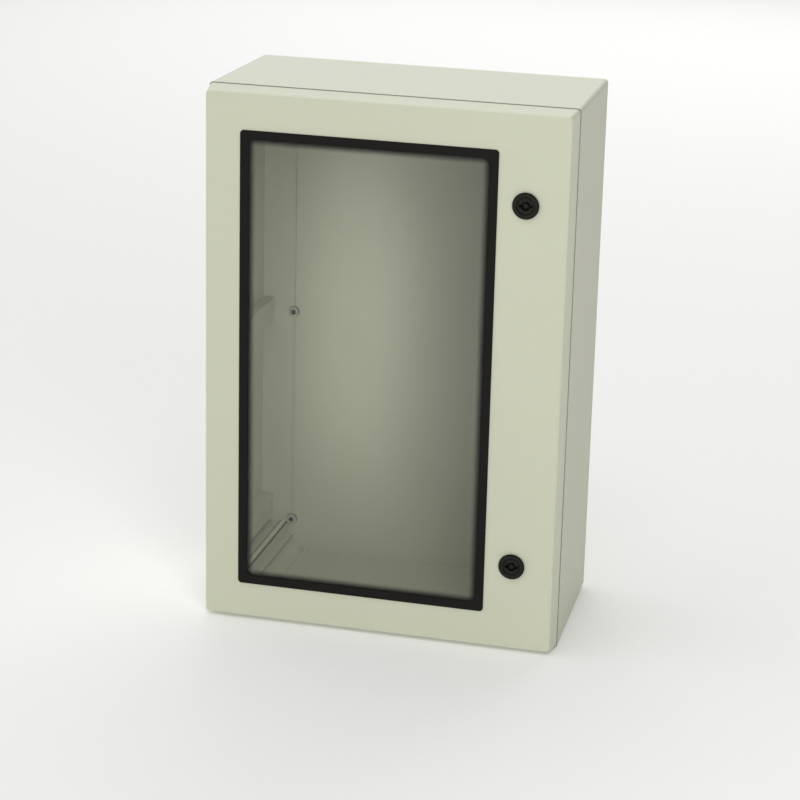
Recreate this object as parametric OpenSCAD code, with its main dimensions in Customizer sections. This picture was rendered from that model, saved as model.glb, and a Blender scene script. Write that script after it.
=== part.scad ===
// Wall cabinet for electrical gear: a moulded tub, a glazed door on pin hinges and two key locks.
// Millimetres. X points right seen from the front, Y points away from the viewer, Z points up.
// The origin lies under the middle of the cabinet, level with its lowest edge.

/* [Cabinet] */
// Width across the rim
cabinet_w = 400; // [360:5:600]
// Height across the rim
cabinet_h = 600; // [540:5:900]
// Depth from the door's front face to the back
cabinet_d = 210; // [170:5:320]
// Wall thickness of the tub
wall = 3.5; // [2.5:0.1:4.5]
// How far each side of the tub leans in towards the back
draft = 3.5; // [1:0.25:5]
// Rounding of the four long corners
corner_r = 4; // [2:0.25:8]
// Rounding of the tub's rear edge
rear_edge_r = 4; // [2:0.25:6]

/* [Rim and corner channels] */
// Width of the rim flange
rim_w = 20; // [17:0.5:24]
// Thickness of the rim flange
rim_t = 3.5; // [2.5:0.1:5]
// Thickness of the sealing lip on the rim
lip_t = 3; // [2:0.1:4]
// Rounding of the sealing line's corners
seal_line_r = 6; // [5.5:0.5:9]
// Outer rim to the inner face of a corner channel
channel_w = 39; // [36:0.5:46]
// Thickness of the channel walls
channel_t = 3; // [2:0.1:4]
// Width of the bead along a channel's edge
bead_w = 4; // [2:0.1:7]
// Height of that bead
bead_h = 2.4; // [0.6:0.1:3]
// Distance from the channel's corner to its bead
bead_edge = 2; // [1.8:0.1:4]
// Width and depth of the grooves beside the bead
bead_groove = 1.6; // [0.4:0.1:1.6]
// Width of the ledge at a channel's foot
foot_w = 6; // [3:0.5:9]
// Height of that foot above the outer rim line
foot_h = 24; // [20:0.5:30]
// Hollow rounding between the foot and the wall
foot_r = 14; // [8:0.5:18]
// Diameter of the wall fixing holes
fixing_d = 8.5; // [5:0.1:11]
// Outer rim to the wall fixing holes
fixing_inset = 20; // [18:0.5:22]
// Diameter of the pad round a fixing hole
fixing_pad_d = 20; // [14:0.5:23]
// Thickness added by that pad
fixing_pad_t = 3; // [1:0.1:5]

/* [Inside of the tub] */
// Outer rim to the plate bosses
boss_inset = 44; // [42:0.5:55]
// Diameter of a plate boss
boss_d = 11.5; // [11:0.25:16]
// Height of a plate boss
boss_h = 4; // [3.5:0.1:8]
// Outside diameter of a threaded insert
insert_d = 8; // [7:0.1:9]
// Minor diameter of the insert's thread
insert_bore = 5; // [3.3:0.1:5.5]
// Length of a threaded insert
insert_len = 6; // [4:0.1:6.5]
// Width of the ribs between the bosses
rib_w = 2; // [1:0.1:3]
// Height of the ribs between the bosses
rib_h = 1.6; // [0.6:0.1:3]
// Outer rim to the inner face of a side rail
rail_reach = 20; // [15:0.5:26]
// Height of a side rail
rail_h = 30; // [20:0.5:36]
// Wall thickness of a side rail
rail_t = 3; // [2:0.1:4]
// Distance between neighbouring side rails
rail_pitch = 240; // [200:1:240]
// Distance from the rim to a rail's open front end
rail_front = 34; // [20:1:60]
// Distance of the plate stops from the middle plane
stop_x = 138; // [90:1:140]
// Thickness of a plate stop
stop_t = 5; // [2:0.25:8]
// Height of a plate stop above the floor of the tub
stop_h = 9; // [4:0.25:14]
// Length of a plate stop along the depth
stop_len = 7; // [4:0.25:20]

/* [Door] */
// Depth of the door from its front face to the seam
door_d = 25; // [22:0.5:32]
// Thickness of the front skin
skin = 3.5; // [2.5:0.1:5]
// Thickness of the skirt
skirt_t = 3; // [2:0.1:4]
// Step from the tub's rim in to the door's edge
door_step = 0.8; // [0.2:0.1:1.5]
// How far each side of the door leans in towards the front
door_draft = 3.5; // [1:0.25:5]
// Rounding of the front edge
front_edge_r = 2; // [1:0.25:3]
// Gap between the door and the rim
seam_gap = 1.2; // [0.6:0.1:2]
// Height of the seal above the skin
seal_h = 8.5; // [6:0.25:11]
// Overhang of the seal on each side of the lip
seal_side = 2.5; // [1.5:0.1:3.5]
// Thickness of the ribs that hold the seal
seal_rib_t = 2; // [1:0.1:3]
// Height of the seal's ribs above the seal
seal_rib_over = 1.5; // [0:0.1:3]
// Clear distance between the lip and the seal
seal_clear = 0.3; // [0.2:0.05:0.6]
// Thickness of the stiffening ribs in the lock stile
stile_rib_t = 2; // [1:0.1:3]
// Height of the stiffening ribs
stile_rib_h = 8; // [3:0.5:10]
// Distance between the stiffening ribs
stile_rib_pitch = 60; // [40:1:65]

/* [Window] */
// Outer rim to the glazing gasket on the hinge side
hinge_stile = 42.5; // [41.5:0.5:60]
// Outer rim to the glazing gasket on the lock side
lock_stile = 79; // [76:0.5:100]
// Outer rim to the glazing gasket at the top and bottom
cross_stile = 43.5; // [42:0.5:60]
// Width of the gasket's face
gasket_face = 10; // [8:0.25:14]
// Lap of the gasket over the door
gasket_lap = 4; // [2:0.25:5]
// Thickness of the web between the door and the pane
gasket_web = 2.5; // [1.5:0.1:3]
// Height of the gasket in front of the door
gasket_front_h = 1.6; // [1:0.1:2.4]
// Height of the gasket behind the door's skin
gasket_rear_h = 2; // [1:0.1:4]
// Bevel on the gasket's front edges
gasket_bevel = 0.9; // [0.2:0.1:0.9]
// Rounding of the gasket's outer corners
gasket_r = 4; // [3:0.25:9]
// Rounding of the gasket's sight corners
sight_r = 8; // [4:0.25:12]
// Thickness of the pane
pane_t = 3; // [2:0.1:3.4]

/* [Hinges] */
// Cabinet's end to the outer hinges
hinge_inset = 75; // [60:1:140]
// Length of a hinge
hinge_len = 50; // [40:1:70]
// Length of the door's lug in a hinge
door_lug_len = 18; // [12:0.5:24]
// Gap between neighbouring lugs
lug_gap = 0.5; // [0.3:0.05:1]
// Diameter of a lug
lug_d = 6.6; // [6.4:0.1:9]
// How far the hinge axis stands outside the cabinet's side
axis_out = 0.4; // [0.3:0.05:2.2]
// Clear distance round a lug
lug_clear = 0.6; // [0.4:0.05:1]
// Length of the web that carries a lug
lug_web = 5; // [4:0.5:14]
// Diameter of a hinge pin
pin_d = 3; // [2.5:0.1:3.4]
// Diameter of a pin's head
pin_head_d = 5.4; // [4.8:0.1:6]
// Height of a pin's head
pin_head_h = 1.5; // [0.8:0.1:3]
// Thickness of the pad that backs a hinge
hinge_pad_t = 8; // [5:0.25:12]
// Running clearance of pins, cores and nuts, on the radius
run_clear = 0.06; // [0.02:0.01:0.1]

/* [Locks] */
// Cabinet's side to the lock axis
lock_edge = 49; // [46:0.5:52]
// Cabinet's end to the lock axis
lock_inset = 100; // [90:1:150]
// Diameter of the bezel
bezel_d = 28.6; // [27:0.1:31]
// Height of the bezel
bezel_h = 2.4; // [1.8:0.1:3.4]
// Rounding of the bezel's edge
bezel_r = 1.3; // [0.5:0.1:1.6]
// Diameter of the threaded neck
neck_d = 22; // [21:0.1:23]
// Distance across the neck's flats
neck_flat = 20; // [19.5:0.1:20.6]
// Length of the neck behind the front face
neck_len = 19; // [15:0.25:22]
// Thickness of the flat seal under the bezel
lock_seal_t = 0.8; // [0.5:0.05:1.2]
// Distance across the flats of the nut
nut_af = 27; // [25:0.25:30]
// Height of the nut
nut_h = 6; // [4:0.25:8]
// Diameter of the turning core's head
core_d = 17.4; // [16.6:0.1:18]
// Depth of the core's head behind the front face
core_depth = 8; // [7:0.25:11]
// Depth of the core's face below the bezel's face
core_set_back = 0.6; // [0.2:0.1:1.5]
// Diameter of the core's shaft
shaft_d = 12; // [11.8:0.1:13]
// Diameter of the key hole
key_hole_d = 10; // [8:0.1:11]
// Span across the key hole's wings
key_span = 14.8; // [12.5:0.1:15.5]
// Width of a wing
key_wing = 3.6; // [2.5:0.1:4.5]
// Diameter of the post in the key hole
key_post_d = 5; // [3:0.1:5.5]
// Depth of the key hole
key_depth = 7; // [5:0.25:9]
// Depth of the post's face below the core's face
key_post_drop = 1; // [0.2:0.1:3]
// Thickness of the retaining clip
clip_t = 1.2; // [0.8:0.1:1.6]
// Outside diameter of the retaining clip
clip_d = 16; // [15:0.25:18]
// Depth of the clip's groove
clip_groove = 0.6; // [0.3:0.05:1]
// Reach of the cam from the lock axis to its tip
cam_reach = 41; // [37:0.25:42]
// Width of the cam
cam_w = 18; // [15:0.5:22]
// Thickness of the cam
cam_t = 3; // [2:0.1:4]
// Side of the square that drives the cam
cam_square = 8; // [7:0.1:8.2]
// Clear distance between the cam and the rim
cam_clear = 0.5; // [0.3:0.05:1]
// Diameter of the cam screw
screw_d = 6; // [4:0.1:6.2]
// Length of the cam screw below its head
screw_len = 14; // [11:0.5:16]
// Distance across the flats of the screw's head
screw_af = 10; // [7:0.25:11]
// Height of the screw's head
screw_head_h = 4; // [2.5:0.1:5]
// Diameter of the washer under the screw
washer_d = 16; // [12.5:0.25:18]
// Thickness of that washer
washer_t = 1.5; // [0.8:0.1:2]

/* [Hidden] */
$fn = 48;
// Facets round the corners of the drafted shells
shell_fn = 32;
// Depth by which joined shapes overlap
bite = 1;
// Number of bands in a rounded edge
edge_steps = 4;
// Smallest rounding inside a corner
least_r = 1;
// Free length of a cut that runs past a face
past = 5;

half_w = cabinet_w / 2;
half_h = cabinet_h / 2;
front_y = -cabinet_d / 2;
back_y = cabinet_d / 2;
seam_y = front_y + door_d;
rim_y = seam_y + seam_gap;
skin_y = front_y + skin;
floor_y = back_y - wall;
rim_back_y = rim_y + rim_t;
lip_y = skin_y + seal_h + seal_clear;
channel_x = half_w - channel_w;
channel_z = half_h - channel_w;

window_w = cabinet_w - hinge_stile - lock_stile;
window_h = cabinet_h - 2 * cross_stile;
window_x = (hinge_stile - lock_stile) / 2;
opening_inset = gasket_lap;
pane_inset = gasket_lap + gasket_web;

hinge_x = -half_w - axis_out;
hinge_y = rim_y - seam_gap / 2;
lug_r = lug_d / 2;
body_lug_len = (hinge_len - door_lug_len) / 2 - lug_gap;
pin_bore_d = pin_d + 2 * run_clear;

// Places along a lock's own axis: zero at the door's front face, positive towards the viewer
bezel_top = lock_seal_t + bezel_h;
core_top = bezel_top - core_set_back;
cam_front = -(rim_back_y - front_y) - cam_clear;
cam_back = cam_front - cam_t;
clip_front = -neck_len;
nut_d = nut_af / cos(30);
screw_head_d = screw_af / cos(30);

shell_colour = "#c9ccb8";
rubber_colour = "#1e1c19";
lock_colour = "#262622";
steel_colour = "#b4b6b8";
foam_colour = "#4a4a48";

// How far the tub's side has leaned in at a given depth
function lean(y) = draft * (y - rim_y) / (back_y - rim_y);
// How far the door's side lies in from the rim at a given depth
function door_lean(y) = door_step + door_draft * (seam_y - y) / door_d;
// Corner rounding of a shell that is set in
function inner_r(inset) = max(corner_r - inset, least_r);

// Flat rectangle with round corners, centred
module rounded(w, h, r) {
    square([w - 2 * r, h], center = true);
    square([w, h - 2 * r], center = true);
    for (x = [-1, 1], y = [-1, 1])
        translate([x * (w / 2 - r), y * (h / 2 - r)]) circle(r);
}

// A flat outline drawn about the cabinet's middle, carried from y0 back to y1
module along_depth(y0, y1) {
    translate([0, y1, half_h]) rotate([90, 0, 0]) linear_extrude(y1 - y0) children();
}

// A block whose section changes evenly from one depth to another, given the inset at each end
module tapered_block(y0, inset0, y1, inset1, r) {
    w = cabinet_w - 2 * inset0;
    h = cabinet_h - 2 * inset0;
    translate([0, y0, half_h]) rotate([-90, 0, 0])
        linear_extrude(
            y1 - y0, scale = [(cabinet_w - 2 * inset1) / w, (cabinet_h - 2 * inset1) / h],
            slices = 1, segments = 0
        ) rounded(w, h, r, $fn = shell_fn);
}

// The four places that mirror a shape drawn in the upper right-hand corner
module four_corners() {
    for (x = [0, 1], z = [0, 1]) mirror([x, 0]) mirror([0, z]) children();
}

// Solid form of the tub, set in by a given amount all round
module tub_form(inset) {
    r = rear_edge_r;
    y0 = back_y - inset - r;
    hull() {
        tapered_block(rim_y, inset, y0, inset + lean(y0), inner_r(inset));
        for (i = [1 : edge_steps]) {
            a0 = 90 * (i - 1) / edge_steps;
            a1 = 90 * i / edge_steps;
            tapered_block(
                y0 + r * sin(a0), inset + lean(y0) + r * (1 - cos(a0)),
                y0 + r * sin(a1), inset + lean(y0) + r * (1 - cos(a1)), inner_r(inset)
            );
        }
    }
}

// Hollow of the tub, run forward past the rim
module tub_hollow() {
    y0 = rim_y - bite;
    tapered_block(y0, wall + lean(y0), floor_y, wall + lean(floor_y), inner_r(wall));
}

// The line that the lip and the seal follow: the rim's inner edge, stepped in round the corner channels
module seal_line(grow) {
    r = seal_line_r + grow;
    rounded(2 * (half_w - rim_w + grow), 2 * (channel_z + grow), r);
    rounded(2 * (channel_x + grow), 2 * (half_h - rim_w + grow), r);
}

// Section of one corner channel with its bead and its hollow-rounded foot
module channel_section() {
    foot_x = channel_x - foot_w;
    foot_z = half_h - foot_h;
    difference() {
        translate([channel_x, channel_z]) square(channel_w);
        translate([channel_x + channel_t, channel_z + channel_t]) square(channel_w);
        for (x = [bead_edge - bead_groove, bead_edge + bead_w])
            translate([channel_x + x, channel_z - bite]) square([bead_groove, bead_groove + bite]);
    }
    translate([channel_x + bead_edge, channel_z - bead_h]) square([bead_w, bead_h + bite]);
    translate([foot_x, foot_z]) square([foot_w + bite, foot_h]);
    difference() {
        translate([foot_x - foot_r, half_h - wall - draft - foot_r]) square([foot_r + bite, foot_r + wall]);
        translate([foot_x - foot_r, half_h - wall - draft - foot_r]) circle(foot_r);
    }
}

// Section of one side rail on the right-hand wall, open towards the wall
module rail_section() {
    reach = half_w - rail_reach;
    difference() {
        translate([reach, -rail_h / 2]) square([rail_reach, rail_h]);
        translate([reach + rail_t, -rail_h / 2 + rail_t]) square([rail_reach, rail_h - 2 * rail_t]);
    }
}

// Centres of the plate bosses
module at_bosses() {
    for (x = [-1, 1], z = [-1, 0, 1])
        translate([x * (half_w - boss_inset), floor_y, half_h + z * (half_h - boss_inset)])
            rotate([90, 0, 0]) children();
}

// Heights of the three hinges
module at_hinges() {
    for (z = [hinge_inset, half_h, cabinet_h - hinge_inset])
        translate([hinge_x, hinge_y, z]) children();
}

// A stretch of hinge lug with its web, the web running back for the tub and forward for the door
module lug(z0, z1, side, root) {
    run = side * (lug_r + lug_web);
    translate([0, 0, z0]) linear_extrude(z1 - z0) {
        circle(lug_r);
        polygon([
            [-lug_r / 2, 0], [axis_out + root + wall / 2, 0],
            [axis_out + root + wall / 2, run], [axis_out + root, run]
        ]);
    }
}

// Pair of lugs of the tub in one hinge
module body_lugs() {
    lug(hinge_len / 2 - body_lug_len, hinge_len / 2, 1, lean(hinge_y + lug_r + lug_web));
    lug(-hinge_len / 2, -hinge_len / 2 + body_lug_len, 1, lean(hinge_y + lug_r + lug_web));
}

// Room that a lug needs in the other moulding
module lug_room(z0, z1) {
    translate([0, 0, z0 - lug_gap]) cylinder(h = z1 - z0 + 2 * lug_gap, r = lug_r + lug_clear);
}

// Bore for a hinge pin, with room for its head above the topmost lug
module pin_room() {
    cylinder(h = hinge_len + 2 * past, d = pin_bore_d, center = true);
    translate([0, 0, hinge_len / 2]) cylinder(h = pin_head_h + lug_gap, r = lug_r + lug_clear);
}

module cabinet_body() color(shell_colour) difference() {
    union() {
        difference() {
            tub_form(0);
            tub_hollow();
        }
        intersection() {
            tub_form(wall / 2);
            union() {
                rim_flange();
                along_depth(rim_y, floor_y + bite) four_corners() channel_section();
                side_rails();
                back_wall_fittings();
                hinge_pads();
            }
        }
        along_depth(lip_y, rim_y + bite) difference() {
            seal_line(lip_t);
            seal_line(0);
        }
        at_hinges() body_lugs();
    }
    at_hinges() lug_room(-door_lug_len / 2, door_lug_len / 2);
    at_hinges() pin_room();
    at_bosses() translate([0, 0, boss_h - insert_len]) cylinder(h = insert_len + past, d = insert_d + 2 * run_clear);
    along_depth(floor_y - fixing_pad_t - past, back_y + past) four_corners()
        translate([half_w - fixing_inset, half_h - fixing_inset]) circle(d = fixing_d);
}

// Flange round the front of the tub, open over the four corner channels
module rim_flange() {
    mouth = channel_w - channel_t - wall - corner_r / 2;
    along_depth(rim_y, rim_back_y) difference() {
        square([cabinet_w, cabinet_h], center = true);
        seal_line(0);
        four_corners() translate([channel_x + channel_t, channel_z + channel_t]) square(mouth);
    }
}

module side_rails() {
    for (x = [0, 1], z = [-1, 0, 1])
        translate([0, 0, z * rail_pitch])
            along_depth(rim_y + rail_front, floor_y + bite) mirror([x, 0]) rail_section();
}

// Bosses, ribs, stops and fixing pads on the inside of the back wall
module back_wall_fittings() {
    at_bosses() translate([0, 0, -bite]) cylinder(h = boss_h + bite, d = boss_d);
    for (x = [0, 1]) mirror([x, 0, 0])
        along_depth(floor_y - rib_h, floor_y + bite)
            translate([half_w - boss_inset - rib_w / 2, 0]) square([rib_w, half_h - boss_inset]);
    along_depth(floor_y - stop_len, floor_y + bite) four_corners()
        translate([stop_x - stop_t / 2, half_h - wall - draft - stop_h]) square([stop_t, stop_h + wall]);
    along_depth(floor_y - fixing_pad_t, floor_y + bite) four_corners()
        translate([half_w - fixing_inset, half_h - fixing_inset]) circle(d = fixing_pad_d);
}

// Thicker wall behind each hinge
module hinge_pads() {
    for (z = [hinge_inset, half_h, cabinet_h - hinge_inset])
        translate([-half_w, rim_y, z - hinge_len / 2]) cube([wall + hinge_pad_t, rim_t + hinge_pad_t, hinge_len]);
}

module plate_inserts() color(steel_colour) at_bosses()
    translate([0, 0, boss_h - insert_len]) difference() {
        cylinder(h = insert_len, d = insert_d);
        translate([0, 0, -bite]) cylinder(h = insert_len + 2 * bite, d = insert_bore);
    }

module hinge_pin(z) color(steel_colour) translate([hinge_x, hinge_y, z]) {
    translate([0, 0, -hinge_len / 2]) cylinder(h = hinge_len + bite / 2, d = pin_d);
    translate([0, 0, hinge_len / 2]) cylinder(h = pin_head_h, d = pin_head_d);
}

// Solid form of the door, leaning in towards its front face and rounded along the front edge
module door_form() {
    r = front_edge_r;
    y0 = front_y + r;
    hull() {
        tapered_block(y0, door_lean(y0), seam_y, door_step, corner_r);
        for (i = [1 : edge_steps]) {
            a0 = 90 * (i - 1) / edge_steps;
            a1 = 90 * i / edge_steps;
            tapered_block(
                y0 - r * sin(a1), door_lean(y0) + r * (1 - cos(a1)),
                y0 - r * sin(a0), door_lean(y0) + r * (1 - cos(a0)), corner_r
            );
        }
    }
}

// Hollow behind the door's skin, run back past the seam
module door_hollow() {
    y1 = seam_y + bite;
    tapered_block(skin_y, skirt_t + door_lean(skin_y), y1, skirt_t + door_lean(y1), inner_r(skirt_t));
}

// The window's outline, set in from the gasket's outer edge
module window_outline(inset, r) {
    translate([window_x, 0]) rounded(window_w - 2 * inset, window_h - 2 * inset, r);
}

// A closed band between two insets of the window's outline
module window_band(outer, outer_r, inner, inner_r) {
    difference() {
        window_outline(outer, outer_r);
        window_outline(inner, inner_r);
    }
}

// Outline of a lock's neck with its two flats
module neck_outline(clear) {
    intersection() {
        circle(d = neck_d + 2 * clear);
        square([neck_d + past, neck_flat + 2 * clear], center = true);
    }
}

module door_frame() color(shell_colour) difference() {
    union() {
        difference() {
            door_form();
            door_hollow();
        }
        seal_ribs();
        stile_ribs();
        at_hinges() lug(-door_lug_len / 2, door_lug_len / 2, -1, door_lean(hinge_y - lug_r - lug_web));
    }
    along_depth(front_y - past, skin_y + past) window_outline(opening_inset, gasket_r);
    for (z = [-1, 1])
        at_lock(z) translate([0, 0, -skin - past]) linear_extrude(skin + 2 * past) neck_outline(run_clear);
    at_hinges() lug_room(hinge_len / 2 - body_lug_len, hinge_len / 2);
    at_hinges() lug_room(-hinge_len / 2, -hinge_len / 2 + body_lug_len);
    at_hinges() pin_room();
}

// The pair of ribs that the door's seal lies between
module seal_ribs() {
    outer = lip_t + seal_side;
    along_depth(skin_y - bite, skin_y + seal_h + seal_rib_over) {
        difference() {
            seal_line(outer + seal_rib_t);
            seal_line(outer);
        }
        difference() {
            seal_line(-seal_side);
            seal_line(-seal_side - seal_rib_t);
        }
    }
}

// Ribs across the lock stile, between the two locks
module stile_ribs() {
    x0 = half_w - lock_stile + bite;
    x1 = half_w - rim_w - seal_side - seal_rib_t + bite;
    reach = half_h - lock_inset - nut_d / 2 - stile_rib_t;
    count = floor(reach / stile_rib_pitch);
    along_depth(skin_y - bite, skin_y + stile_rib_h)
        for (i = [-count : count])
            translate([x0, i * stile_rib_pitch - stile_rib_t / 2]) square([x1 - x0, stile_rib_t]);
}

module door_seal() color(foam_colour) along_depth(skin_y, skin_y + seal_h) difference() {
    seal_line(lip_t + seal_side);
    seal_line(-seal_side);
}

module window_pane() color([0.75, 0.8, 0.78, 0.4]) {
    y0 = front_y + (skin - pane_t) / 2;
    along_depth(y0, y0 + pane_t) window_outline(pane_inset, sight_r);
}

// Glazing gasket of H section: a face in front, a lip behind, and a slot each for the door and the pane
module window_gasket() color(rubber_colour) difference() {
    union() {
        gasket_face_form();
        along_depth(front_y - bite / 2, skin_y + gasket_rear_h)
            window_band(gasket_bevel, gasket_r - gasket_bevel, gasket_face, sight_r);
    }
    along_depth(front_y, skin_y) window_band(-past, gasket_r + past, opening_inset, gasket_r);
    y0 = front_y + (skin - pane_t) / 2;
    along_depth(y0, y0 + pane_t) window_outline(pane_inset, sight_r);
}

// The gasket's face, bevelled along both edges
module gasket_face_form() {
    y0 = front_y - gasket_front_h + gasket_bevel;
    sight_w = window_w - 2 * gasket_face;
    sight_h = window_h - 2 * gasket_face;
    difference() {
        union() {
            along_depth(y0, front_y) window_outline(0, gasket_r);
            translate([window_x, y0, half_h]) rotate([90, 0, 0])
                flared_block(window_w, window_h, gasket_r, gasket_bevel, -1);
        }
        along_depth(y0, front_y) window_outline(gasket_face, sight_r);
        translate([window_x, y0, half_h]) rotate([90, 0, 0])
            flared_block(sight_w, sight_h, sight_r, gasket_bevel + bite, 1);
    }
}

// Block with round corners whose sides slope out, or in for a side of -1, at 45 degrees
module flared_block(w, h, r, t, side) {
    for (turn = [0, 1]) {
        a = turn == 0 ? w / 2 : h / 2;
        b = turn == 0 ? h : w;
        rotate([90, 0, 90 * turn]) linear_extrude(b - 2 * r, center = true)
            polygon([[-a, 0], [a, 0], [a + side * t, t], [-a - side * t, t]]);
    }
    for (x = [-1, 1], y = [-1, 1])
        translate([x * (w / 2 - r), y * (h / 2 - r)]) cylinder(h = t, r1 = r, r2 = r + side * t);
}

// A lock's own frame: its axis at the lock, zero at the door's front face, pointing at the viewer
module at_lock(z) {
    translate([half_w - lock_edge, front_y, half_h + z * (half_h - lock_inset)])
        rotate([90, 0, 0]) children();
}

module lock_housing(z) color(lock_colour) at_lock(z) difference() {
    union() {
        translate([0, 0, lock_seal_t]) rotate_extrude() bezel_profile();
        translate([0, 0, -neck_len]) linear_extrude(neck_len + lock_seal_t + bite) neck_outline(0);
    }
    translate([0, 0, -core_depth - run_clear]) cylinder(h = core_depth + bezel_top + past, d = core_d + 2 * run_clear);
    translate([0, 0, -neck_len - past]) cylinder(h = neck_len + past, d = shaft_d + 2 * run_clear);
}

// Half section of the bezel with its rounded edge
module bezel_profile() {
    r = bezel_d / 2;
    intersection() {
        square([r, bezel_h]);
        union() {
            square([r - bezel_r, bezel_h]);
            square([r, bezel_h - bezel_r]);
            translate([r - bezel_r, bezel_h - bezel_r]) circle(bezel_r);
        }
    }
}

module lock_seal(z) color(rubber_colour) at_lock(z) linear_extrude(lock_seal_t) difference() {
    circle(d = bezel_d - bezel_r);
    neck_outline(run_clear);
}

module lock_nut(z) color(steel_colour) at_lock(z) translate([0, 0, -skin - nut_h]) difference() {
    cylinder(h = nut_h, d = nut_d, $fn = 6);
    translate([0, 0, -bite]) cylinder(h = nut_h + 2 * bite, d = neck_d + 2 * run_clear);
}

// Turning core: a head with the key hole, a shaft through the neck and a square for the cam
module lock_core(z) color(lock_colour) at_lock(z) difference() {
    union() {
        translate([0, 0, -core_depth]) cylinder(h = core_depth + core_top, d = core_d);
        translate([0, 0, cam_front]) cylinder(h = -cam_front - core_depth + bite, d = shaft_d);
        translate([-cam_square / 2, -cam_square / 2, cam_back]) cube([cam_square, cam_square, cam_t + bite]);
    }
    translate([0, 0, core_top - key_depth]) linear_extrude(key_depth + past) difference() {
        key_outline();
        circle(d = key_post_d);
    }
    translate([0, 0, core_top - key_post_drop]) cylinder(h = past, d = key_post_d + bite);
    translate([0, 0, clip_front - clip_t]) difference() {
        cylinder(h = clip_t, d = shaft_d + bite);
        translate([0, 0, -bite]) cylinder(h = clip_t + 2 * bite, d = shaft_d - 2 * clip_groove);
    }
    translate([0, 0, cam_back - past]) cylinder(h = screw_len + past, d = screw_d + 2 * run_clear);
}

// Key hole: a round hole with a wing on each side
module key_outline() {
    circle(d = key_hole_d);
    square([key_span - key_wing, key_wing], center = true);
    for (x = [-1, 1]) translate([x * (key_span - key_wing) / 2, 0]) circle(d = key_wing);
}

// Open ring that holds the core in its housing
module lock_clip(z) color(steel_colour) at_lock(z) translate([0, 0, clip_front - clip_t])
    linear_extrude(clip_t) difference() {
        circle(d = clip_d);
        circle(d = shaft_d - 2 * clip_groove + 2 * run_clear);
        translate([0, -clip_d / 2]) square([shaft_d / 2, clip_d], center = true);
    }

// Cam that turns behind the rim, drawn hanging down in its released place
module lock_cam(z) color(steel_colour) at_lock(z) translate([0, 0, cam_back])
    linear_extrude(cam_t) difference() {
        union() {
            circle(d = cam_w);
            translate([0, -(cam_reach - cam_w / 4) / 2]) square([cam_w, cam_reach - cam_w / 4], center = true);
            translate([0, -cam_reach / 2]) square([cam_w / 2, cam_reach], center = true);
            for (x = [-1, 1]) translate([x * cam_w / 4, cam_w / 4 - cam_reach]) circle(d = cam_w / 2);
        }
        square(cam_square + 2 * run_clear, center = true);
    }

module cam_washer(z) color(steel_colour) at_lock(z) translate([0, 0, cam_back - washer_t]) difference() {
    cylinder(h = washer_t, d = washer_d);
    translate([0, 0, -bite]) cylinder(h = washer_t + 2 * bite, d = screw_d + 2 * run_clear);
}

module cam_screw(z) color(steel_colour) at_lock(z) translate([0, 0, cam_back - washer_t]) {
    cylinder(h = screw_len, d = screw_d);
    translate([0, 0, -screw_head_h]) cylinder(h = screw_head_h, d = screw_head_d, $fn = 6);
}

cabinet_body();
plate_inserts();
hinge_pin(cabinet_h - hinge_inset);  // hinge_pin_upper
hinge_pin(half_h);  // hinge_pin_middle
hinge_pin(hinge_inset);  // hinge_pin_lower
door_frame();
door_seal();
window_pane();
window_gasket();
lock_housing(1);  // upper_lock_housing
lock_seal(1);  // upper_lock_seal
lock_nut(1);  // upper_lock_nut
lock_core(1);  // upper_lock_core
lock_clip(1);  // upper_lock_clip
lock_cam(1);  // upper_lock_cam
cam_washer(1);  // upper_cam_washer
cam_screw(1);  // upper_cam_screw
lock_housing(-1);  // lower_lock_housing
lock_seal(-1);  // lower_lock_seal
lock_nut(-1);  // lower_lock_nut
lock_core(-1);  // lower_lock_core
lock_clip(-1);  // lower_lock_clip
lock_cam(-1);  // lower_lock_cam
cam_washer(-1);  // lower_cam_washer
cam_screw(-1);  // lower_cam_screw
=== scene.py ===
"""Dresses a moulded wall cabinet with a glazed door: finishes, soft seals, lock pieces, studio and camera."""

import logging
import math
from collections.abc import Callable
from dataclasses import dataclass, field, replace
from enum import Enum
from functools import cache

import bmesh
import bpy
import numpy as np
from mathutils import Matrix, Vector


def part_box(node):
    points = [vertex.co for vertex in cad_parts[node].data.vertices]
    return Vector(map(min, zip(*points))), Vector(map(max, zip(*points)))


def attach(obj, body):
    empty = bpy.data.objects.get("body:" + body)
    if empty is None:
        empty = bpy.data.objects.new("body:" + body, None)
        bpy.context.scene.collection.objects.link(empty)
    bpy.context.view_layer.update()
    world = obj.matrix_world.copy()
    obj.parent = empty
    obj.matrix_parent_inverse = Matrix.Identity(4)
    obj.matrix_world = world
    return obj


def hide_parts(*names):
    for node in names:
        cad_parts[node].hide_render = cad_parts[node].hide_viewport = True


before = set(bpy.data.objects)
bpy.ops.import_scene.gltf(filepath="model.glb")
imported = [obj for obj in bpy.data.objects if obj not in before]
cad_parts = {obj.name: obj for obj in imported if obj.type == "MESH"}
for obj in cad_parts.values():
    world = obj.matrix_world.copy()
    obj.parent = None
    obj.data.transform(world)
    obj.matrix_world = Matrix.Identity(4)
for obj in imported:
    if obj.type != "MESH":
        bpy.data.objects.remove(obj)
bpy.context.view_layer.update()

log = logging.getLogger("cabinet")

MM = 0.001
# Distance over which a mask falls from 1 to 0
MASK_EDGE = 0.1 * MM
MERGE_DISTANCE = 1e-7
SMALLEST_SINE = 1e-6
# Edges that turn by less than this are smooth
SMOOTH_DEG = 35.0
QUARTERS_DEG = (0, 90, 180, 270)

Colour = tuple[float, float, float]
Point = tuple[float, float, float]
Socket = bpy.types.NodeSocket
# What a node's input takes: a plain value of its own or another node's output
Number = float | Socket
Paint = Colour | Socket
Value = float | tuple[float, ...] | Socket


class Body(Enum):
    """The bodies that new pieces ride on."""

    DOOR = "door"
    UPPER_LOCK = "upper_lock"
    LOWER_LOCK = "lower_lock"


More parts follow.
